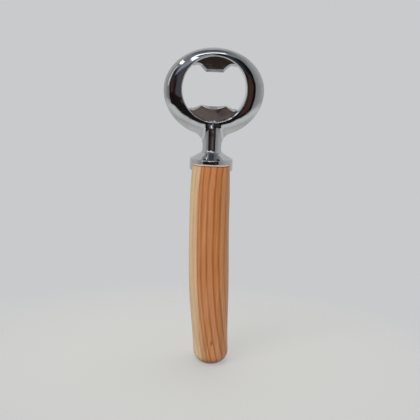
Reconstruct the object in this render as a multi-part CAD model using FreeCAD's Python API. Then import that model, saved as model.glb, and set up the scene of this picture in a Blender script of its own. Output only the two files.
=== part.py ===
import FreeCAD, Part
import math
import os

# A hand-held bottle opener: a chrome-plated cast head on a wooden handle.
# Lengths are millimetres. +Z is up along the axis of the head, -Y is the front, and Z = 0 is the
# flat at the lowest point of the handle, under the middle of the bounding box.

# Ring of the head. The hole is round and narrows to a waist at the mid-plane; the outline is two
# half ellipses on a slightly lower centre.
HOLE_CENTRE_Z = 150.7
WAIST_RADIUS = 16.6
RIM_RADIUS = 17.2            # of the hole, where the rounding of its rims begins
CREST_RADIUS = 17.2          # circle along which the ring is thickest
CREST_HALF_DEPTH = 4.4
OUTLINE_HALF_WIDTH = 27.0
OUTLINE_CENTRE_Z = 150.0
OUTLINE_RISE = 22.6          # from that centre to the top of the ring
OUTLINE_DROP = 24.6          # from that centre to the bottom of the ring
RIM_ROUNDING = 0.9

# Webs inside the hole: a tongue at the top, and a lower web whose curved seat ends in two ears.
# Each is widest at the mid-plane and bevels back to a smaller flat face on both sides. Pairs are
# (half width, distance from the hole's centre towards the root of the web).
WEB_HALF_DEPTH = 1.8
WEB_ROOT_RADIUS = 18.8       # how far out the webs are rooted inside the ring
SCOOP_END_DEG = 60.0         # where the arc of a scoop ends, beside the wall of the hole
TONGUE_MIDDLE = {"tip": (4.7, 8.9), "dip": 0.0, "scoop_centre": (9.4, 9.4), "scoop_radius": 3.0}
TONGUE_FACE = {"tip": (4.4, 10.5), "dip": 0.0, "scoop_centre": (9.4, 9.4), "scoop_radius": 4.3}
TONGUE_ROOT_DEG = 50.0
SEAT_MIDDLE = {"tip": (6.6, 8.6), "dip": 0.7, "scoop_centre": (10.9, 8.9), "scoop_radius": 1.5}
SEAT_FACE = {"tip": (6.5, 9.0), "dip": 1.8, "scoop_centre": (10.9, 8.9), "scoop_radius": 2.7}
SEAT_ROOT_DEG = 54.0

# Stem, flare and collar, all round about the Z axis.
STEM_RADIUS = 5.15
STEM_BLEND = 7.0             # rounding in the corner between the stem and the ring
STEM_BALL_Z = 129.0          # centre of the ball that the stem ends in, under the rim
FLARE_TOP_Z = 118.8
FLARE_BULGE = (5.5, 117.2)   # a point halfway along the rounding between stem and cone
FLARE_CONE_TOP = (6.6, 116.2)
COLLAR_RADIUS = 11.7
COLLAR_TOP_Z = 113.2
COLLAR_BOTTOM_Z = 107.0
COLLAR_ROUNDING = 0.8

# Wooden handle. Its sections are superellipses, deeper front to back than side to side, which
# turn from nearly rectangular at the top to nearly elliptical at the butt.
HANDLE_TOP_Z = 111.1
HANDLE_TURN_DEG = -4.5       # it is screwed on a little short of square to the head
BOW_START_Z = 102.0          # below this height the handle bows to the right
BOW_RADIUS = 1230.0
SECTION_POINTS = 36
HANDLE_SECTIONS = (          # height, half width, half depth, exponent
    (HANDLE_TOP_Z, 10.25, 13.0, 3.6),
    (104.0, 10.45, 13.3, 3.5),
    (93.0, 10.8, 13.7, 3.4),
    (81.0, 10.82, 13.9, 3.4),
    (62.0, 10.98, 13.9, 3.3),
    (33.0, 10.65, 13.9, 3.0),
    (13.0, 9.78, 13.9, 2.4),
    (0.0, 9.2, 13.9, 2.15),
)
BUTT_ROUNDING = 5.7
TOP_EDGE_ROUNDING = 0.4
RECESS_CLEARANCE = 0.1

# M8 coarse stud and the brass insert it screws into.
STUD_RADIUS = 4.0
STUD_PITCH = 1.25
STUD_THREAD_DEPTH = 0.68
STUD_LENGTH = 36.0
STUD_CHAMFER = 0.8
HEAD_HOLE_DEPTH = 9.0
HEAD_HOLE_SPARE = 0.5        # room above the stud in the head's blind hole
INSERT_RADIUS = 6.0
INSERT_PITCH = 2.5
INSERT_THREAD_DEPTH = 1.0
INSERT_LENGTH = 20.0
INSERT_SUNK = 0.5            # the insert stops this far below the floor of the recess
BORE_SPARE = 3.0             # room below the end of the stud
BORE_CLEARANCE = 0.3
THREAD_CLEARANCE = 0.08
THREAD_OVERRUN = 0.1         # how far a groove's tool stands out of the rod it cuts
FLANK_SLOPE = math.tan(math.radians(30))
GROOVE_ROOT_SHARE = 0.13     # half width of a groove's floor, as a share of the pitch

STUD_TOP_Z = COLLAR_BOTTOM_Z + HEAD_HOLE_DEPTH - HEAD_HOLE_SPARE
STUD_BOTTOM_Z = STUD_TOP_Z - STUD_LENGTH
INSERT_TOP_Z = COLLAR_BOTTOM_Z - INSERT_SUNK
BEYOND = 1.0                 # how far a cutting shape runs past the surface it cuts
SAME = 0.01                  # lengths closer than this are taken as equal
UP = FreeCAD.Vector(0, 0, 1)
BACK = FreeCAD.Vector(0, 1, 0)
ORIGIN = FreeCAD.Vector(0, 0, 0)


def point(x, y, z):
    return FreeCAD.Vector(x, y, z)


def turned(profile):
    """A solid of revolution about Z from corners given as (radius, height)."""
    corners = [point(radius, 0, height) for radius, height in profile]
    face = Part.Face(Part.makePolygon(corners + corners[:1]))
    return face.revolve(ORIGIN, UP, 360)


def rod(radius, bottom, top):
    return Part.makeCylinder(radius, top - bottom, point(0, 0, bottom))


def edges_at(shape, height):
    """The level edges at a height."""
    return [
        edge for edge in shape.Edges
        if edge.BoundBox.ZLength < SAME and abs(edge.BoundBox.ZMin - height) < SAME
    ]


# --- threads -------------------------------------------------------------------------------

def helical_rib(pitch, bottom, top, inner, outer):
    """A trapezoid swept up a helix; inner and outer are (radius, half height) pairs."""
    path = Part.makeLongHelix(pitch, top - bottom, inner[0], 0)
    path.translate(point(0, 0, bottom))
    corners = [
        point(inner[0], 0, bottom - inner[1]),
        point(outer[0], 0, bottom - outer[1]),
        point(outer[0], 0, bottom + outer[1]),
        point(inner[0], 0, bottom + inner[1]),
    ]
    sweep = Part.BRepOffsetAPI.MakePipeShell(Part.Wire(path.Edges))
    sweep.setBiNormalMode(UP)
    sweep.add(Part.makePolygon(corners + corners[:1]))
    sweep.build()
    sweep.makeSolid()
    return sweep.shape()


def turns_past(pitch, bottom, top):
    """Start and end of a helix that overruns a span, in step with every other thread."""
    start = COLLAR_BOTTOM_Z + pitch * math.floor((bottom - COLLAR_BOTTOM_Z) / pitch - 1)
    end = COLLAR_BOTTOM_Z + pitch * math.ceil((top - COLLAR_BOTTOM_Z) / pitch + 1)
    return start, end


def outer_thread_groove(radius, depth, pitch, bottom, top):
    """The groove to cut from a rod to give it an outside thread."""
    start, end = turns_past(pitch, bottom, top)
    root = GROOVE_ROOT_SHARE * pitch
    mouth = root + (depth + THREAD_OVERRUN) * FLANK_SLOPE
    return helical_rib(pitch, start, end, (radius - depth, root), (radius + THREAD_OVERRUN, mouth))


def inner_thread_groove(radius, depth, pitch, bottom, top):
    """The groove to cut in a bore so that it takes the matching outside thread."""
    start, end = turns_past(pitch, bottom, top)
    root = GROOVE_ROOT_SHARE * pitch
    mouth = pitch / 2 - root + THREAD_CLEARANCE
    floor = mouth - depth * FLANK_SLOPE
    inner = (radius - depth, mouth)
    outer = (radius + THREAD_CLEARANCE, floor)
    groove = helical_rib(pitch, start, end, inner, outer)
    groove.translate(UP * (pitch / 2))
    return groove


# --- head ----------------------------------------------------------------------------------

def ring():
    """The ring: a dome from the front crest round the outline to the back crest, all the way round.

    It is one exact surface. Its control points sit at the corners and mid-sides of the squares
    around two circles: one circle that runs round the hole, and one that runs over the section.
    """
    turn = [(0, -1), (1, -1), (1, 0), (1, 1), (0, 1), (-1, 1), (-1, 0), (-1, -1), (0, -1)]
    front = BACK * -CREST_HALF_DEPTH
    back = BACK * CREST_HALF_DEPTH
    poles = []
    for across, up in turn:
        half_height = OUTLINE_RISE if up > 0 else OUTLINE_DROP
        crest = point(CREST_RADIUS * across, 0, HOLE_CENTRE_Z + CREST_RADIUS * up)
        edge = point(OUTLINE_HALF_WIDTH * across, 0, OUTLINE_CENTRE_Z + half_height * up)
        poles.append([crest + front, edge + front, edge, edge + back, crest + back])
    corner = math.sqrt(0.5)
    around = [1, corner, 1, corner, 1, corner, 1, corner, 1]
    over = [1, corner, 1, corner, 1]
    surface = Part.BSplineSurface()
    surface.buildFromPolesMultsKnots(
        poles, [3, 2, 2, 2, 3], [3, 2, 3], [0, 1, 2, 3, 4], [0, 1, 2], False, False, 2, 2,
        [[a * b for b in over] for a in around],
    )
    dome = surface.toShape()
    rims = [edge for edge in dome.Edges if edge.BoundBox.YLength < CREST_HALF_DEPTH / 2]
    bore = Part.makeRuledSurface(*rims)
    shell = Part.Shell([dome, bore])
    shell.sewShape()
    return Part.Solid(shell)


def stem_and_collar():
    """The ball-ended stem, flare and collar turned about Z, with the collar's edges rounded."""
    def corner(radius, height):
        return point(radius, 0, height)

    flare = Part.Arc(
        corner(STEM_RADIUS, FLARE_TOP_Z), corner(*FLARE_BULGE), corner(*FLARE_CONE_TOP)
    ).toShape()
    base = Part.makePolygon([
        corner(*FLARE_CONE_TOP),
        corner(COLLAR_RADIUS, COLLAR_TOP_Z),
        corner(COLLAR_RADIUS, COLLAR_BOTTOM_Z),
        corner(0, COLLAR_BOTTOM_Z),
        corner(0, STEM_BALL_Z),
        corner(STEM_RADIUS, STEM_BALL_Z),
        corner(STEM_RADIUS, FLARE_TOP_Z),
    ])
    body = Part.Face(Part.Wire([flare] + base.Edges)).revolve(ORIGIN, UP, 360)
    body = body.fuse(Part.makeSphere(STEM_RADIUS, UP * STEM_BALL_Z)).removeSplitter()
    rims = edges_at(body, COLLAR_TOP_Z) + edges_at(body, COLLAR_BOTTOM_Z)
    return body.makeFillet(COLLAR_ROUNDING, rims)


def hole():
    """The tool that bores the hole: two drafts that meet at the waist, and a bell at each rim.

    The bells leave the rims rounded. Their arcs end at the height of the crest.
    """
    def corner(radius, y):
        return point(radius, y, HOLE_CENTRE_Z)

    def mouth(side):
        low = side * (CREST_HALF_DEPTH - RIM_ROUNDING)
        high = side * CREST_HALF_DEPTH
        centre = RIM_RADIUS + RIM_ROUNDING
        reach = RIM_ROUNDING * math.sqrt(0.5)
        start = corner(RIM_RADIUS, low)
        middle = corner(centre - reach, low + side * reach)
        end = corner(centre, high)
        out = corner(centre, high + side * BEYOND)
        axis = corner(0, high + side * BEYOND)
        return [
            Part.makeLine(corner(WAIST_RADIUS, 0), start),
            Part.Arc(start, middle, end).toShape(),
            Part.makeLine(end, out),
            Part.makeLine(out, axis),
            Part.makeLine(axis, corner(0, 0)),
        ]

    outline = Part.Wire(mouth(1) + mouth(-1)[::-1])
    return Part.Face(outline).revolve(UP * HOLE_CENTRE_Z, BACK, 360)


def web_outline(y, side, root_deg, tip, dip, scoop_centre, scoop_radius):
    """Outline of a web at one depth: its working edge, a scoop at each end of it, and its root.

    side is 1 for the web at the top of the hole and -1 for the one at the bottom.
    """
    slope = math.atan2(scoop_centre[1] - tip[1], scoop_centre[0] - tip[0])
    slope += math.asin(scoop_radius / math.dist(tip, scoop_centre))
    touch = slope + math.pi / 2
    end = math.radians(SCOOP_END_DEG)
    scoop = [
        (scoop_centre[0] + scoop_radius * math.cos(turn),
         scoop_centre[1] + scoop_radius * math.sin(turn))
        for turn in (touch, (touch + end) / 2, end)
    ]
    root = (
        WEB_ROOT_RADIUS * math.sin(math.radians(root_deg)),
        WEB_ROOT_RADIUS * math.cos(math.radians(root_deg)),
    )

    def place(mirror, pair):
        return point(mirror * pair[0], y, HOLE_CENTRE_Z + side * pair[1])

    def flank(mirror):
        start, middle, stop = [place(mirror, pair) for pair in scoop]
        return [
            Part.makeLine(place(mirror, tip), start),
            Part.Arc(start, middle, stop).toShape(),
            Part.makeLine(stop, place(mirror, root)),
        ]

    if dip:
        lowest = place(0, (0, tip[1] + dip))
        working_edge = Part.Arc(place(-1, tip), lowest, place(1, tip)).toShape()
    else:
        working_edge = Part.makeLine(place(-1, tip), place(1, tip))
    crown = Part.Arc(place(1, root), place(0, (0, WEB_ROOT_RADIUS)), place(-1, root)).toShape()
    return Part.Wire([working_edge] + flank(1) + [crown] + flank(-1)[::-1])


def web(side, root_deg, middle, face):
    outlines = [
        web_outline(-WEB_HALF_DEPTH, side, root_deg, **face),
        web_outline(0, side, root_deg, **middle),
        web_outline(WEB_HALF_DEPTH, side, root_deg, **face),
    ]
    return Part.makeLoft(outlines, True, True)


def stem_corner(body):
    """The edges where the stem and its ball run into the ring."""
    return [
        edge for edge in body.Edges
        if not edge.Degenerated
        and edge.Curve.TypeId == "Part::GeomBSplineCurve"
        and edge.BoundBox.XLength > BEYOND
        and edge.BoundBox.ZMin > OUTLINE_CENTRE_Z - OUTLINE_DROP
        and edge.BoundBox.ZMax < HOLE_CENTRE_Z - RIM_RADIUS
    ]


def opener_head():
    """The casting: ring, stem, flare, collar and webs in one piece, with a threaded blind hole."""
    body = ring().fuse(stem_and_collar())
    body = body.makeFillet(STEM_BLEND, stem_corner(body)).cut(hole())
    body = body.fuse(web(1, TONGUE_ROOT_DEG, TONGUE_MIDDLE, TONGUE_FACE))
    body = body.fuse(web(-1, SEAT_ROOT_DEG, SEAT_MIDDLE, SEAT_FACE))
    drilling, groove = threaded_hole_in_head()
    return body.removeSplitter().cut(drilling).cut(groove)


# --- fastening -----------------------------------------------------------------------------

def threaded_hole_in_head():
    """The tool for the blind M8 hole that goes up into the collar."""
    top = COLLAR_BOTTOM_Z + HEAD_HOLE_DEPTH
    drill = STUD_RADIUS - STUD_THREAD_DEPTH + THREAD_CLEARANCE
    bore = rod(drill, COLLAR_BOTTOM_Z - BEYOND, top)
    point_of_drill = Part.makeCone(drill, 0, drill / 2, UP * top)
    groove = inner_thread_groove(
        STUD_RADIUS, STUD_THREAD_DEPTH, STUD_PITCH, COLLAR_BOTTOM_Z, top - 2 * STUD_PITCH
    )
    return bore.fuse(point_of_drill), groove


def threaded_stud():
    """A length of M8 rod with chamfered ends."""
    profile = [
        (0, STUD_BOTTOM_Z),
        (STUD_RADIUS - STUD_CHAMFER, STUD_BOTTOM_Z),
        (STUD_RADIUS, STUD_BOTTOM_Z + STUD_CHAMFER),
        (STUD_RADIUS, STUD_TOP_Z - STUD_CHAMFER),
        (STUD_RADIUS - STUD_CHAMFER, STUD_TOP_Z),
        (0, STUD_TOP_Z),
    ]
    groove = outer_thread_groove(
        STUD_RADIUS, STUD_THREAD_DEPTH, STUD_PITCH, STUD_BOTTOM_Z, STUD_TOP_Z
    )
    return turned(profile).cut(groove)


def threaded_insert():
    """A brass bush with a coarse wood thread outside and the stud's thread inside."""
    bottom = INSERT_TOP_Z - INSERT_LENGTH
    outside = outer_thread_groove(
        INSERT_RADIUS, INSERT_THREAD_DEPTH, INSERT_PITCH, bottom, INSERT_TOP_Z
    )
    inside = inner_thread_groove(
        STUD_RADIUS, STUD_THREAD_DEPTH, STUD_PITCH, bottom, INSERT_TOP_Z
    )
    drill = STUD_RADIUS - STUD_THREAD_DEPTH + THREAD_CLEARANCE
    body = rod(INSERT_RADIUS, bottom, INSERT_TOP_Z).cut(outside)
    body = body.cut(rod(drill, bottom - BEYOND, INSERT_TOP_Z + BEYOND))
    return body.cut(inside)


# --- handle --------------------------------------------------------------------------------

def handle_section(height, half_width, half_depth, exponent):
    lean = max(0, BOW_START_Z - height)
    centre_x = lean ** 2 / (2 * BOW_RADIUS)
    points = []
    for count in range(SECTION_POINTS):
        turn = 2 * math.pi * count / SECTION_POINTS
        share = abs(math.cos(turn) / half_width) ** exponent
        share += abs(math.sin(turn) / half_depth) ** exponent
        reach = share ** (-1 / exponent)
        points.append(point(centre_x + reach * math.cos(turn), reach * math.sin(turn), height))
    curve = Part.BSplineCurve()
    curve.interpolate(points, PeriodicFlag=True)
    return Part.Wire([curve.toShape()])


def handle():
    """The bowed wooden handle, with a recess for the collar and a stepped bore below it."""
    body = Part.makeLoft([handle_section(*row) for row in HANDLE_SECTIONS], True, False)
    body = body.makeFillet(BUTT_ROUNDING, edges_at(body, 0))
    body = body.makeFillet(TOP_EDGE_ROUNDING, edges_at(body, HANDLE_TOP_Z))
    body.rotate(ORIGIN, UP, HANDLE_TURN_DEG)
    recess = rod(COLLAR_RADIUS + RECESS_CLEARANCE, COLLAR_BOTTOM_Z, HANDLE_TOP_Z + BEYOND)
    insert_bottom = INSERT_TOP_Z - INSERT_LENGTH
    wide = rod(INSERT_RADIUS + THREAD_CLEARANCE, insert_bottom, COLLAR_BOTTOM_Z + BEYOND)
    narrow = rod(STUD_RADIUS + BORE_CLEARANCE, STUD_BOTTOM_Z - BORE_SPARE, insert_bottom + BEYOND)
    return body.cut(recess).cut(wide.fuse(narrow))


def main():
    os.makedirs("parts", exist_ok=True)
    pieces = {
        "opener_head": opener_head(),
        "threaded_stud": threaded_stud(),
        "threaded_insert": threaded_insert(),
        "handle": handle(),
    }
    for name, shape in pieces.items():
        shape.Solids[0].exportStep(f"parts/{name}.step")


main()
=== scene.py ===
import math

import bpy
from mathutils import Matrix, Vector

# Looks, light and camera for a chrome and wood bottle opener. Lengths are metres unless a name
# ends in MM. +Z is up and -Y is the front.

MM = 0.001

# Camera: it stands in front of the head, looks down a little and is tipped a little sideways.
CAMERA_DISTANCE = 0.5
CAMERA_HEIGHT = 0.1766
CAMERA_SIDE = 0.4 * MM
CAMERA_AZIMUTH = math.radians(-4.5)
CAMERA_PITCH = math.radians(10.4)
CAMERA_ROLL = math.radians(2.3)
VIEW_ANGLE = math.radians(25.5)


def linear(text):
    """A linear RGBA colour from a web colour such as b47144."""
    parts = [int(text[at:at + 2], 16) / 255 for at in (0, 2, 4)]
    curve = [part / 12.92 if part < 0.04045 else ((part + 0.055) / 1.055) ** 2.4 for part in parts]
    return curve + [1]


class Graph:
    """Builds a node tree. An input may be a number, a colour or another node's output."""

    def __init__(self, tree):
        self.tree = tree
        tree.nodes.clear()

    def node(self, kind, inputs=None, **settings):
        made = self.tree.nodes.new("ShaderNode" + kind)
        for name, value in settings.items():
            setattr(made, name, value)
        for slot, value in (inputs or {}).items():
            if isinstance(value, bpy.types.NodeSocket):
                self.tree.links.new(value, made.inputs[slot])
            else:
                made.inputs[slot].default_value = value
        return made

    def math(self, operation, *values):
        return self.node("Math", dict(enumerate(values)), operation=operation).outputs[0]

    def total(self, *values):
        result = values[0]
        for value in values[1:]:
            result = self.math("ADD", result, value)
        return result

    def product(self, *values):
        result = values[0]
        for value in values[1:]:
            result = self.math("MULTIPLY", result, value)
        return result

    def step(self, value, low, high):
        """0 below low, 1 above high and a smooth rise between them. low may be above high."""
        ends = {"Value": value, "From Min": low, "From Max": high}
        return self.node("MapRange", ends, interpolation_type="SMOOTHSTEP").outputs[0]

    def ramp(self, value, low, high):
        ends = {"Value": value, "From Min": low, "From Max": high}
        return self.node("MapRange", ends, clamp=True).outputs[0]

    def between(self, value, low, high, soft):
        return self.product(
            self.step(value, low - soft, low + soft), self.step(value, high + soft, high - soft)
        )

    def mix(self, share, first, second, blend="MIX"):
        made = self.node("Mix", {0: share, 6: first, 7: second}, data_type="RGBA", blend_type=blend)
        return made.outputs[2]

    def split(self, vector):
        return self.node("SeparateXYZ", {0: vector}).outputs

    def scaled(self, vector, size):
        return self.node("VectorMath", {0: vector, 1: size}, operation="MULTIPLY").outputs[0]

    def noise(self, vector, size, detail=2.0, rough=0.5):
        """Noise from 0 to 1, where size says how far the pattern reaches along x, y and z."""
        spread = self.scaled(vector, [1 / length for length in size])
        inputs = {"Vector": spread, "Scale": 1.0, "Detail": detail, "Roughness": rough}
        return self.node("TexNoise", inputs).outputs[0]

    def bump(self, height, distance, strength=1.0, normal=None):
        inputs = {"Height": height, "Distance": distance, "Strength": strength}
        if normal is not None:
            inputs["Normal"] = normal
        return self.node("Bump", inputs).outputs[0]

    def place(self):
        return self.node("TexCoord").outputs["Object"]


def material(name):
    made = bpy.data.materials.new(name)
    made.use_nodes = True
    return made, Graph(made.node_tree)


def finish_surface(graph, inputs):
    shader = graph.node("BsdfPrincipled", inputs)
    graph.node("OutputMaterial", {"Surface": shader.outputs[0]})


# --- metals --------------------------------------------------------------------------------

# A range is where a mark starts to show in its noise and where it shows fully.
# How far each unevenness of the plating reaches along x, y and z, and how high it stands.
CHROME_WAVE = ([11 * MM] * 3, 0.22 * MM)
CHROME_RIPPLE = ([2.8 * MM] * 3, 0.012 * MM)
CHROME_WIPING = ([1.1 * MM, 0.16 * MM, 0.22 * MM], 0.0006 * MM)
CHROME_PITS = ([0.7 * MM] * 3, -0.01 * MM)
CHROME_PIT_RANGE = (0.79, 0.83)
CHROME_SMUDGE_REACH = [7 * MM, 7 * MM, 9 * MM]
CHROME_SMUDGE_RANGE = (0.52, 0.72)
CHROME_TINT = [0.60, 0.61, 0.62, 1]
CHROME_SMUDGE_TINT = [0.55, 0.555, 0.555, 1]
CHROME_PIT_TINT = [0.3, 0.29, 0.28, 1]
CHROME_ROUGHNESS = 0.035
CHROME_ROUGHER = (0.07, 0.03, 0.3)  # added where it is smudged, wiped or pitted


def chrome():
    """Bright plating over a polished casting: a little wavy, with fine wiping marks and smudges."""
    made, g = material("chrome_plate")
    at = g.place()
    wave = g.noise(at, CHROME_WAVE[0], 1.0)
    ripple = g.noise(at, CHROME_RIPPLE[0], 1.0)
    wiping = g.noise(at, CHROME_WIPING[0], 2.0)
    smudge = g.step(g.noise(at, CHROME_SMUDGE_REACH, 4.0, 0.6), *CHROME_SMUDGE_RANGE)
    pits = g.step(g.noise(at, CHROME_PITS[0], 1.0), *CHROME_PIT_RANGE)
    normal = g.bump(wave, CHROME_WAVE[1])
    normal = g.bump(ripple, CHROME_RIPPLE[1], normal=normal)
    normal = g.bump(wiping, CHROME_WIPING[1], normal=normal)
    normal = g.bump(pits, CHROME_PITS[1], normal=normal)
    tint = g.mix(smudge, CHROME_TINT, CHROME_SMUDGE_TINT)
    tint = g.mix(pits, tint, CHROME_PIT_TINT)
    marks = [g.product(mark, rise) for mark, rise in zip((smudge, wiping, pits), CHROME_ROUGHER)]
    rough = g.total(CHROME_ROUGHNESS, *marks)
    finish_surface(g, {"Base Color": tint, "Metallic": 1.0, "Roughness": rough, "Normal": normal})
    return made


# A machined metal: its clean colour, its stained colour and its roughness.
STEEL = ("8d8f92", "55585c", 0.32)
BRASS = ("c9a04c", "8a6a2c", 0.28)
TOOL_MARK_REACH = [4 * MM, 4 * MM, 0.12 * MM]
TOOL_MARK_HEIGHT = 0.01 * MM
TOOL_MARK_DARKNESS = 0.35
TOOL_MARK_ROUGHNESS = 0.1
OIL_STAIN_REACH = [5 * MM] * 3
OIL_STAIN_RANGE = (0.45, 0.7)
OIL_STAIN_ROUGHNESS = 0.18


def machined(name, light, dark, base_roughness):
    """A turned metal surface: tool marks round its axis, oil stains and dull patches."""
    made, g = material(name)
    at = g.place()
    marks = g.noise(at, TOOL_MARK_REACH, 2.0)
    stain = g.step(g.noise(at, OIL_STAIN_REACH, 4.0, 0.6), *OIL_STAIN_RANGE)
    tint = g.mix(stain, linear(light), linear(dark))
    tint = g.mix(g.product(marks, TOOL_MARK_DARKNESS), tint, linear(dark))
    duller = g.product(stain, OIL_STAIN_ROUGHNESS), g.product(marks, TOOL_MARK_ROUGHNESS)
    rough = g.total(base_roughness, *duller)
    normal = g.bump(marks, TOOL_MARK_HEIGHT)
    finish_surface(g, {"Base Color": tint, "Metallic": 1.0, "Roughness": rough, "Normal": normal})
    return made


# --- wood ----------------------------------------------------------------------------------

# Growth rings are arcs about a pith that lies far to the right, so the bark side, which is the
# pale sapwood, is on the left. A ring is (distance of its bark-side edge along x, colour of its
# early wood, depth of its late wood's line), and it reaches to the next ring's edge.
PITH_X_MM = 75.0
RINGS = (
    (-19.7, "dcc39a", 0.25),
    (-17.9, "d8bf96", 0.3),
    (-16.2, "dec69c", 0.25),
    (-14.6, "d6bd92", 0.35),
    (-13.1, "dac092", 0.3),
    (-11.5, "d4b68e", 0.3),
    (-9.8, "d8b086", 0.35),
    (-8.0, "c68d5e", 0.75),
    (-6.35, "cb8552", 0.9),
    (-3.3, "cb885a", 0.9),
    (0.05, "c07a42", 1.0),
    (3.3, "c68a58", 1.0),
    (6.6, "c28e64", 0.7),
    (10.3, "c08858", 0.8),
    (14.2, "c58552", 0.8),
    (18.2, "c58552", 0.8),
)
RING_EDGE_SOFT_MM = 0.25
LATEWOOD_RISE_MM = 0.75      # the line darkens over this width up to the ring's edge
LATEWOOD_FALL_MM = (0.95, 0.05)  # and is gone and full at these distances past it
LATEWOOD_REACH_MM = [6.0, 6.0, 14.0]
LATEWOOD_STRENGTH = (0.6, 0.4)   # least strength of a line, and how much it may gain
LATEWOOD_COLOURS = ("a98457", "9a5418")  # in the sapwood and in the heartwood

HEART_EDGE_MM = -8.0         # where the heartwood starts, on the rings' scale
HEART_EDGE_SOFT_MM = 0.5
HEART_SPREAD_MM = 2.2        # how much farther out it reaches near the butt
HEART_SPREAD_Z_MM = (48, 6)
HEART_SPREAD_COLOUR = "c89866"
HEART_SPREAD_FADE_MM = (0.6, -0.2)
HEART_WARM_Z_MM = (25, 55)   # the heartwood is more orange above this height
HEART_WARMTH = [0.985, 0.92, 0.77, 1]

GRAIN_TURN_Z_MM = 72.0       # below this height the grain bends to the right
GRAIN_TURN_RADIUS_MM = 318.0
GRAIN_TURN_SPREAD = 0.011    # how much more it bends for each millimetre farther right
GRAIN_TOP_Z_MM = 88.0        # above this height it bends to the right too
GRAIN_TOP_RADIUS_MM = 250.0
GRAIN_SWAY_REACH_MM = [24, 24, 46]
GRAIN_SWAY_MM = 1.0
GRAIN_SHIVER_REACH_MM = [3.0, 3.0, 11.0]
GRAIN_SHIVER_MM = 0.45

PATCH_REACH_MM = [4.0, 4.0, 30.0]
PATCH_RANGE = (0.35, 0.7)
PATCH_SHARE = 0.35
PATCH_COLOURS = ("c9ab80", "b06a36")  # in the sapwood and in the heartwood
FIBRE_REACH_MM = [0.22, 0.22, 9.0]
FIBRE_HEIGHT = 0.01 * MM
FINE_REACH_MM = [0.07, 0.07, 1.6]
STREAK_REACH_MM = [0.7, 0.7, 26.0]
# Marks along the grain: the range in which one shows, how strongly, and its colour.
DARK_STREAKS = (0.45, 0.7, 0.25, "a8713f")
PALE_STREAKS = (0.5, 0.3, 0.2, "e0b98c")
FIBRE_MARKS = (0.5, 0.75, 0.2, "8a5a34")
FINE_MARKS = (0.6, 0.8, 0.2, "6d4426")

FLECK_MM = (3.0, 13.4)       # a dark fleck on the front, as x and z
FLECK_SIZE_MM = (0.5, 1.5)
FLECK_DEPTH_MM = (0.0, -5.0)     # it is only on the front
FLECK_FADE = (1.2, 0.5)
FLECK_SHARE = 0.7
FLECK_COLOUR = "7a4022"

# The butt is darker for two reasons. Its end grain has its own darker colour and pores. Painted
# shade is added where the wood faces down and on its lowest two millimetres, away from the light.
END_GRAIN_AND_SHADE_Z_MM = (2.0, 0.4)
END_GRAIN_AND_SHADE_FACING = (-0.2, -0.9)  # how far a surface must face down
END_GRAIN_AND_SHADE_SHARE = 0.8
END_GRAIN_AND_SHADE_COLOURS = ("6c4228", "4c2e1c")  # of the wood and its pores
PORE_REACH_MM = [0.25, 0.25, 0.25]
PORE_RANGE = (0.5, 0.62)
PORE_SHARE = 0.4

RIM_SHADE_LINE_Z_MM = 110.42       # a painted shadow line runs round the wood just under the chrome collar, below a painted highlight on its top edge
RIM_SHADE_LINE_HALF_MM = 0.22
RIM_SHADE_LINE_SOFT_MM = 0.08
RIM_SHADE_LINE_SHARE = 0.75
RIM_SHADE_LINE_COLOUR = "4a2c1c"
RIM_HIGHLIGHT_MM = 0.5            # the painted highlight above the line grows over this height
RIM_HIGHLIGHT_COLOUR = "c8b09d"

WOOD_ROUGHNESS = 0.42
WOOD_COAT = (0.08, 0.3)      # weight and roughness of the oil


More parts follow.
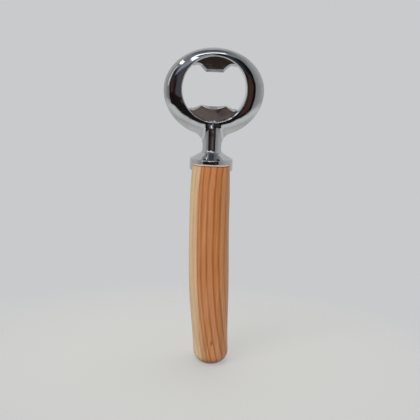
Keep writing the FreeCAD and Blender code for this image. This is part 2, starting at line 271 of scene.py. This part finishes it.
def wood():
    """Yew-like wood, sanded and oiled: pale sapwood, orange heartwood and dark latewood lines."""
    made, g = material("yew_wood")
    at = g.scaled(g.place(), [1 / MM] * 3)
    x, y, z = g.split(at)
    sink = g.math("MAXIMUM", g.math("SUBTRACT", GRAIN_TURN_Z_MM, z), 0.0)
    spread = g.total(1.0, g.product(g.math("SUBTRACT", x, HEART_EDGE_MM), GRAIN_TURN_SPREAD))
    turn = g.math("DIVIDE", g.product(sink, sink, spread), 2 * GRAIN_TURN_RADIUS_MM)
    lift = g.math("MAXIMUM", g.math("SUBTRACT", z, GRAIN_TOP_Z_MM), 0.0)
    turn = g.total(turn, g.math("DIVIDE", g.product(lift, lift), 2 * GRAIN_TOP_RADIUS_MM))
    sway = g.math("SUBTRACT", g.noise(at, GRAIN_SWAY_REACH_MM, 1.0), 0.5)
    shiver = g.math("SUBTRACT", g.noise(at, GRAIN_SHIVER_REACH_MM, 2.0), 0.5)
    drift = g.total(g.product(sway, GRAIN_SWAY_MM), g.product(shiver, GRAIN_SHIVER_MM))
    across = g.total(g.math("SUBTRACT", x, turn), drift)
    to_pith = g.math("SUBTRACT", PITH_X_MM, across)
    radius = g.math("SQRT", g.total(g.product(to_pith, to_pith), g.product(y, y)))
    u = g.math("SUBTRACT", PITH_X_MM, radius)

    fibre = g.noise(at, FIBRE_REACH_MM, 3.0, 0.6)
    fine = g.noise(at, FINE_REACH_MM, 2.0)
    streak = g.noise(at, STREAK_REACH_MM, 2.0)
    patch = g.noise(at, PATCH_REACH_MM, 2.0)
    strength = g.ramp(g.noise(at, LATEWOOD_REACH_MM, 2.0), 0.25, 0.7)
    early = linear(RINGS[0][1])
    late = 0.0
    for edge, colour, depth in RINGS:
        passed = g.step(u, edge - RING_EDGE_SOFT_MM, edge + RING_EDGE_SOFT_MM)
        early = g.mix(passed, early, linear(colour))
        rise = g.step(u, edge - LATEWOOD_RISE_MM, edge)
        fall = g.step(u, edge + LATEWOOD_FALL_MM[0], edge + LATEWOOD_FALL_MM[1])
        late = g.math("MAXIMUM", late, g.product(rise, fall, depth))
    least, gain = LATEWOOD_STRENGTH
    late = g.product(late, g.total(least, g.product(strength, gain)))

    outward = g.product(g.step(z, *HEART_SPREAD_Z_MM), -HEART_SPREAD_MM)
    past_edge = g.math("SUBTRACT", u, g.total(HEART_EDGE_MM, outward))
    heart = g.step(past_edge, -HEART_EDGE_SOFT_MM, HEART_EDGE_SOFT_MM)
    spread_ends = [HEART_EDGE_MM + fade for fade in HEART_SPREAD_FADE_MM]
    early = g.mix(g.product(heart, g.step(u, *spread_ends)), early, linear(HEART_SPREAD_COLOUR))
    shade = g.mix(heart, *map(linear, PATCH_COLOURS))
    early = g.mix(g.product(g.step(patch, *PATCH_RANGE), PATCH_SHARE), early, shade)
    tint = g.mix(late, early, g.mix(heart, *map(linear, LATEWOOD_COLOURS)))
    for noise, marks in (
        (streak, DARK_STREAKS),
        (streak, PALE_STREAKS),
        (fibre, FIBRE_MARKS),
        (fine, FINE_MARKS),
    ):
        start, full, share, colour = marks
        tint = g.mix(g.product(g.step(noise, start, full), share), tint, linear(colour))
    warm = g.product(heart, g.step(z, *HEART_WARM_Z_MM))
    tint = g.mix(warm, tint, HEART_WARMTH, "MULTIPLY")

    aside = g.math("DIVIDE", g.math("SUBTRACT", x, FLECK_MM[0]), FLECK_SIZE_MM[0])
    above = g.math("DIVIDE", g.math("SUBTRACT", z, FLECK_MM[1]), FLECK_SIZE_MM[1])
    away = g.total(g.product(aside, aside), g.product(above, above), g.product(shiver, 1.2))
    fleck = g.product(g.step(away, *FLECK_FADE), g.step(y, *FLECK_DEPTH_MM))
    tint = g.mix(g.product(fleck, FLECK_SHARE), tint, linear(FLECK_COLOUR))

    # Painted shade mixed with the end grain's own colour: faces that point down and the bottom of
    # the butt get darker.
    facing = g.split(g.node("TexCoord").outputs["Normal"])[2]
    downward = g.step(facing, *END_GRAIN_AND_SHADE_FACING)
    end_grain_and_shade = g.math("MAXIMUM", downward, g.step(z, *END_GRAIN_AND_SHADE_Z_MM))
    pores = g.step(g.noise(at, PORE_REACH_MM, 2.0), *PORE_RANGE)
    end_grain_and_shade_tint = g.mix(g.product(pores, PORE_SHARE), *map(linear, END_GRAIN_AND_SHADE_COLOURS))
    tint = g.mix(g.product(end_grain_and_shade, END_GRAIN_AND_SHADE_SHARE), tint, end_grain_and_shade_tint)

    # Painted light at the top of the wood: a highlight on the top edge and a shadow line just under
    # the collar.
    line_ends = (RIM_SHADE_LINE_Z_MM - RIM_SHADE_LINE_HALF_MM, RIM_SHADE_LINE_Z_MM + RIM_SHADE_LINE_HALF_MM)
    rim_shade_line = g.between(z, *line_ends, RIM_SHADE_LINE_SOFT_MM)
    rim_highlight = g.step(z, RIM_SHADE_LINE_Z_MM, RIM_SHADE_LINE_Z_MM + RIM_HIGHLIGHT_MM)
    tint = g.mix(rim_highlight, tint, linear(RIM_HIGHLIGHT_COLOUR))
    tint = g.mix(g.product(rim_shade_line, RIM_SHADE_LINE_SHARE), tint, linear(RIM_SHADE_LINE_COLOUR))

    grain_height = g.total(g.product(fibre, 0.6), g.product(late, 0.4))
    finish_surface(g, {
        "Base Color": tint,
        "Roughness": g.total(WOOD_ROUGHNESS, g.product(fibre, 0.16), g.product(late, -0.06)),
        "Normal": g.bump(grain_height, FIBRE_HEIGHT),
        "Coat Weight": WOOD_COAT[0],
        "Coat Roughness": WOOD_COAT[1],
    })
    return made


# --- studio --------------------------------------------------------------------------------

# The sky's angles are degrees: azimuth from the camera's side towards the right, and elevation.
# A pair of angles is where a part starts to show and where it shows fully. Three are where it
# starts, where it ends and how soft its edges are. Colours are linear.

# Each lamp strip: where it starts and ends (azimuth, elevation), its half width, its brightness.
LAMP_STRIPS = (
    ((-60, 46), (-33, 33), 3.0, 2.2),
    ((-18, 37), (-6, 21), 2.5, 2.2),
    ((-14, 42), (24, 47), 4.5, 2.2),
    ((-52, 6), (-50, 30), 4.0, 0.85),
)
LAMP_BLUE = 1.02             # the lamps are this much stronger in blue
LAMP_EDGES = (1.3, 0.7)      # a strip fades between these multiples of its half width
BACKDROP = "c9cacc"
DOME = [0.62, 0.62, 0.63, 1]  # even light on everything that isn't a mirror


def lamp_strip(g, azimuth, elevation, start, end, half_width):
    """1 inside a straight soft-edged strip from start to end, given in degrees on the sky."""
    span = (end[0] - start[0], end[1] - start[1])
    length_squared = span[0] ** 2 + span[1] ** 2
    dx = g.math("SUBTRACT", azimuth, start[0])
    dy = g.math("SUBTRACT", elevation, start[1])
    shares = [length / length_squared for length in span]
    along = g.total(g.product(dx, shares[0]), g.product(dy, shares[1]))
    along = g.node("Clamp", {0: along}).outputs[0]
    off_x = g.math("SUBTRACT", dx, g.product(along, span[0]))
    off_y = g.math("SUBTRACT", dy, g.product(along, span[1]))
    distance = g.math("SQRT", g.total(g.product(off_x, off_x), g.product(off_y, off_y)))
    return g.step(distance, half_width * LAMP_EDGES[0], half_width * LAMP_EDGES[1])


WALL_REACH = [0.5] * 3
WALL_COLOURS = ([0.44, 0.45, 0.44, 1], [0.56, 0.57, 0.57, 1])
WALL_SHADES = ([0.235, 0.23, 0.235, 1], [0.28, 0.285, 0.29, 1])  # left and right of the camera
WALL_SHADE_MIDDLE = (-10, 10)
WALL_SHADE_ASIDE = (92, 45)
ROOF_RIM = 44
ROOF_RIM_RISE = 24           # how much higher the roof's rim is behind the opener
ROOF_RIM_ASIDE = (40, 130)
ROOF_FADE = (-10.0, 14.0)
ROOF_COLOUR = [0.245, 0.25, 0.26, 1]
ROOF_GAP_ASIDE = (75, 55)
ROOF_GAP_ELEVATION = (62, 86, 4.0)
ROOF_GAP_SHARE = 0.8
ROOF_GAP_COLOUR = [0.05, 0.062, 0.085, 1]
GROUND_ELEVATION = (-14, -27)
GROUND_COLOURS = ([0.72, 0.725, 0.72, 1], [0.46, 0.47, 0.465, 1])  # far off and nearer
GROUND_NEARER_ELEVATION = (-26, -48)
GROUND_BELOW_ELEVATION = (-55, -80)
GROUND_BELOW_COLOUR = [0.78, 0.78, 0.775, 1]
BEHIND_ASIDE = (120, 150)
BEHIND_SHARE = 0.7
BEHIND_COLOUR = [0.62, 0.625, 0.625, 1]


def tent(g, way, azimuth, elevation):
    """The pale tent round the opener: walls, roof and ground, and a gap in the roof."""
    aside = g.math("ABSOLUTE", azimuth)
    wall = g.mix(g.noise(way, WALL_REACH, 2.0), *WALL_COLOURS)
    shade = g.mix(g.step(azimuth, *WALL_SHADE_MIDDLE), *WALL_SHADES)
    wall = g.mix(g.ramp(aside, *WALL_SHADE_ASIDE), wall, shade)
    rim = g.total(ROOF_RIM, g.product(g.step(aside, *ROOF_RIM_ASIDE), ROOF_RIM_RISE))
    roof = g.step(g.math("SUBTRACT", elevation, rim), *ROOF_FADE)
    cover = g.mix(roof, wall, ROOF_COLOUR)
    ground = g.mix(g.step(elevation, *GROUND_NEARER_ELEVATION), *GROUND_COLOURS)
    ground = g.mix(g.step(elevation, *GROUND_BELOW_ELEVATION), ground, GROUND_BELOW_COLOUR)
    cover = g.mix(g.step(elevation, *GROUND_ELEVATION), cover, ground)
    gap = g.product(g.step(aside, *ROOF_GAP_ASIDE), g.between(elevation, *ROOF_GAP_ELEVATION))
    cover = g.mix(g.product(gap, ROOF_GAP_SHARE), cover, ROOF_GAP_COLOUR)
    behind = g.product(g.step(aside, *BEHIND_ASIDE), BEHIND_SHARE)
    return g.mix(behind, cover, BEHIND_COLOUR)


# The room that the tent's opening shows. Its parts are (azimuths, elevations, share, colour).
CLUTTER_REACH = [0.16] * 3
ROOM_LOW_CLUTTER = (0.42, 0.6)
ROOM_LOW_COLOURS = ([0.018, 0.012, 0.011, 1], [0.07, 0.036, 0.03, 1])
ROOM_HIGH_CLUTTER = (0.45, 0.7)
ROOM_HIGH_COLOURS = ([0.008, 0.009, 0.01, 1], [0.06, 0.066, 0.09, 1])
ROOM_HIGH_ELEVATION = (-2, 9)
ROOM_FLOOR_ELEVATION = (-6.2, -7.6)
ROOM_FLOOR_SHARE = 0.9
ROOM_FLOOR_COLOUR = [0.01, 0.009, 0.009, 1]
CURTAIN = ((-13, 0, 2.0), (-7.2, 14, 1.0), 0.8, [0.10, 0.094, 0.112, 1])
BENCH_AZIMUTH = (2, 17, 1.5)
BENCH_ELEVATION = (-7.2, 4, 0.7)
BENCH_CLUTTER = (0.35, 0.65)
BENCH_COLOURS = ([0.19, 0.145, 0.135, 1], [0.11, 0.085, 0.08, 1])
BENCH_TOP_ELEVATION = (-3.3, -2.3)
BENCH_TOP_COLOUR = [0.035, 0.025, 0.02, 1]
SHELF = ((19, 32, 2.0), (-15, 1, 2.5), 1.0, [0.07, 0.036, 0.028, 1])
CORNER_AZIMUTH = (31, 35)
CORNER_SHARE = 0.9
CORNER_COLOUR = [0.006, 0.006, 0.006, 1]
WINDOW = ((-27, 9, 3.0), (11, 27, 2.0), 0.85, [0.36, 0.38, 0.44, 1])


def room_part(g, room, azimuth, elevation, part):
    azimuths, elevations, share, colour = part
    area = g.product(g.between(azimuth, *azimuths), g.between(elevation, *elevations), share)
    return g.mix(area, room, colour)


def dark_room(g, way, azimuth, elevation):
    """What shows through the tent's opening: a dim cluttered room, brownish low and bluish high."""
    clutter = g.noise(way, CLUTTER_REACH, 3.0)
    low = g.mix(g.step(clutter, *ROOM_LOW_CLUTTER), *ROOM_LOW_COLOURS)
    high = g.mix(g.step(clutter, *ROOM_HIGH_CLUTTER), *ROOM_HIGH_COLOURS)
    room = g.mix(g.step(elevation, *ROOM_HIGH_ELEVATION), low, high)
    below = g.product(g.step(elevation, *ROOM_FLOOR_ELEVATION), ROOM_FLOOR_SHARE)
    room = g.mix(below, room, ROOM_FLOOR_COLOUR)
    room = room_part(g, room, azimuth, elevation, CURTAIN)
    bench = g.mix(g.step(clutter, *BENCH_CLUTTER), *BENCH_COLOURS)
    bench = g.mix(g.step(elevation, *BENCH_TOP_ELEVATION), bench, BENCH_TOP_COLOUR)
    bench_part = (BENCH_AZIMUTH, BENCH_ELEVATION, 1.0, bench)
    room = room_part(g, room, azimuth, elevation, bench_part)
    room = room_part(g, room, azimuth, elevation, SHELF)
    corner = g.product(g.step(azimuth, *CORNER_AZIMUTH), CORNER_SHARE)
    room = g.mix(corner, room, CORNER_COLOUR)
    return room_part(g, room, azimuth, elevation, WINDOW)


# The tent's opening. Its top edge is higher on the right.
OPENING_AZIMUTH = (-43, 41.5, 1.5)
OPENING_BOTTOM = (-22.5, -19.5)
OPENING_TOP = 25
OPENING_TOP_RISE = 9
OPENING_TOP_RISE_AZIMUTH = (-22, -2)
OPENING_TOP_FADE = (-2.0, 2.0)


def studio_sky():
    """The sky, which differs by who looks: a backdrop to the camera, even light to what isn't a
    mirror, and to the chrome a pale tent with lamps and a dark opening round the camera."""
    world = bpy.data.worlds.new("studio")
    bpy.context.scene.world = world
    world.use_nodes = True
    g = Graph(world.node_tree)
    way = g.node("TexCoord").outputs["Generated"]
    turn = {"Vector": way, "Axis": (0, 0, 1), "Angle": -CAMERA_AZIMUTH}
    x, y, z = g.split(g.node("VectorRotate", turn).outputs[0])
    elevation = g.product(g.math("ARCSINE", z), math.degrees(1))
    azimuth = g.product(g.math("ARCTAN2", x, g.product(y, -1.0)), math.degrees(1))

    rise = g.product(g.step(azimuth, *OPENING_TOP_RISE_AZIMUTH), OPENING_TOP_RISE)
    under_top = g.math("SUBTRACT", g.total(OPENING_TOP, rise), elevation)
    opening = g.product(
        g.between(azimuth, *OPENING_AZIMUTH),
        g.step(elevation, *OPENING_BOTTOM),
        g.step(under_top, *OPENING_TOP_FADE),
    )
    around = tent(g, way, azimuth, elevation)
    sky = g.mix(opening, around, dark_room(g, way, azimuth, elevation))
    for start, end, half_width, power in LAMP_STRIPS:
        lamp = lamp_strip(g, azimuth, elevation, start, end, half_width)
        sky = g.mix(lamp, sky, [power, power, power * LAMP_BLUE, 1])

    path = g.node("LightPath").outputs
    backdrop = linear(BACKDROP)
    seen = g.mix(path["Is Diffuse Ray"], sky, DOME)
    seen = g.mix(path["Is Camera Ray"], seen, backdrop)
    seen = g.mix(path["Is Transmission Ray"], seen, backdrop)
    shine = g.node("Background", {"Color": seen})
    g.node("OutputWorld", {"Surface": shine.outputs[0]})


FLOOR_RADIUS = 0.6
FLOOR_CORNERS = 96
FLOOR_FADE = (0.07, 0.2)     # the paper fades out between these distances from the middle
PAPER_GRAIN_REACH = [0.6 * MM] * 3
PAPER_COLOURS = ("b6b6b4", "bcbcba")
FLOOR_GLOW = 0.6             # share of the floor's light that comes through it from below
FLOOR_GLOW_COLOUR = "cdcdca"


def floor():
    """A pale floor, lit partly from below, that fades into the backdrop all round."""
    bpy.ops.mesh.primitive_circle_add(vertices=FLOOR_CORNERS, radius=FLOOR_RADIUS, fill_type="NGON")
    made = bpy.context.object
    made.name = "floor"
    paint, g = material("floor_paper")
    x, y, _ = g.split(g.place())
    reach = g.math("SQRT", g.total(g.product(x, x), g.product(y, y)))
    grain = g.noise(g.place(), PAPER_GRAIN_REACH, 3.0)
    sheet = g.mix(grain, *map(linear, PAPER_COLOURS))
    paper = g.node("BsdfPrincipled", {
        "Base Color": g.mix(FLOOR_GLOW, sheet, [0, 0, 0, 1]),
        "Roughness": 0.7,
        "Specular IOR Level": 0.2,
        "Emission Color": linear(FLOOR_GLOW_COLOUR),
        "Emission Strength": FLOOR_GLOW,
    })
    clear = g.node("BsdfTransparent")
    gone = g.step(reach, *FLOOR_FADE)
    both = g.node("MixShader", {0: gone, 1: paper.outputs[0], 2: clear.outputs[0]})
    g.node("OutputMaterial", {"Surface": both.outputs[0]})
    made.data.materials.append(paint)


# Soft lights: name, place, what it points at, diameter and power in watts.
SOFT_LIGHTS = (
    ("key_light", (-0.35, -0.45, 0.75), (0, 0, 0.08), 0.5, 4.0),
    ("top_light", (0.1, 0.25, 0.8), (0, 0, 0.05), 0.6, 3.0),
)


def soft_light(name, place, target, size, power):
    data = bpy.data.lights.new(name, "AREA")
    data.shape = "DISK"
    data.size = size
    data.energy = power
    made = bpy.data.objects.new(name, data)
    made.location = place
    made.rotation_euler = (Vector(target) - Vector(place)).to_track_quat("-Z", "Y").to_euler()
    made.visible_glossy = False
    bpy.context.scene.collection.objects.link(made)


def camera():
    data = bpy.data.cameras.new("camera")
    data.angle = VIEW_ANGLE
    data.clip_start = 10 * MM
    made = bpy.data.objects.new("camera", data)
    bpy.context.scene.collection.objects.link(made)
    tilt = Matrix.Rotation(math.pi / 2 - CAMERA_PITCH, 4, "X") @ Matrix.Rotation(CAMERA_ROLL, 4, "Z")
    stand = Matrix.Translation((CAMERA_SIDE, -CAMERA_DISTANCE, CAMERA_HEIGHT))
    made.matrix_world = Matrix.Rotation(CAMERA_AZIMUTH, 4, "Z") @ stand @ tilt
    bpy.context.scene.camera = made


def paint(node, finish):
    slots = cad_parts[node].data.materials
    slots.clear()
    slots.append(finish)


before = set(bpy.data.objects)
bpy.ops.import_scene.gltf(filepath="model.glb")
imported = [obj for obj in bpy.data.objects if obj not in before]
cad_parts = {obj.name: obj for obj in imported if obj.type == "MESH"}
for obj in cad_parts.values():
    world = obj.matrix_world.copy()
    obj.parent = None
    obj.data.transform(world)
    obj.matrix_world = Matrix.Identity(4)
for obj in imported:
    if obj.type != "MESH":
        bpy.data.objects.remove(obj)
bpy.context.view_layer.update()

paint("opener_head", chrome())
paint("threaded_stud", machined("steel", *STEEL))
paint("threaded_insert", machined("brass", *BRASS))
paint("handle", wood())

floor()
studio_sky()
for light in SOFT_LIGHTS:
    soft_light(*light)
camera()
bpy.context.scene.view_settings.view_transform = "Standard"
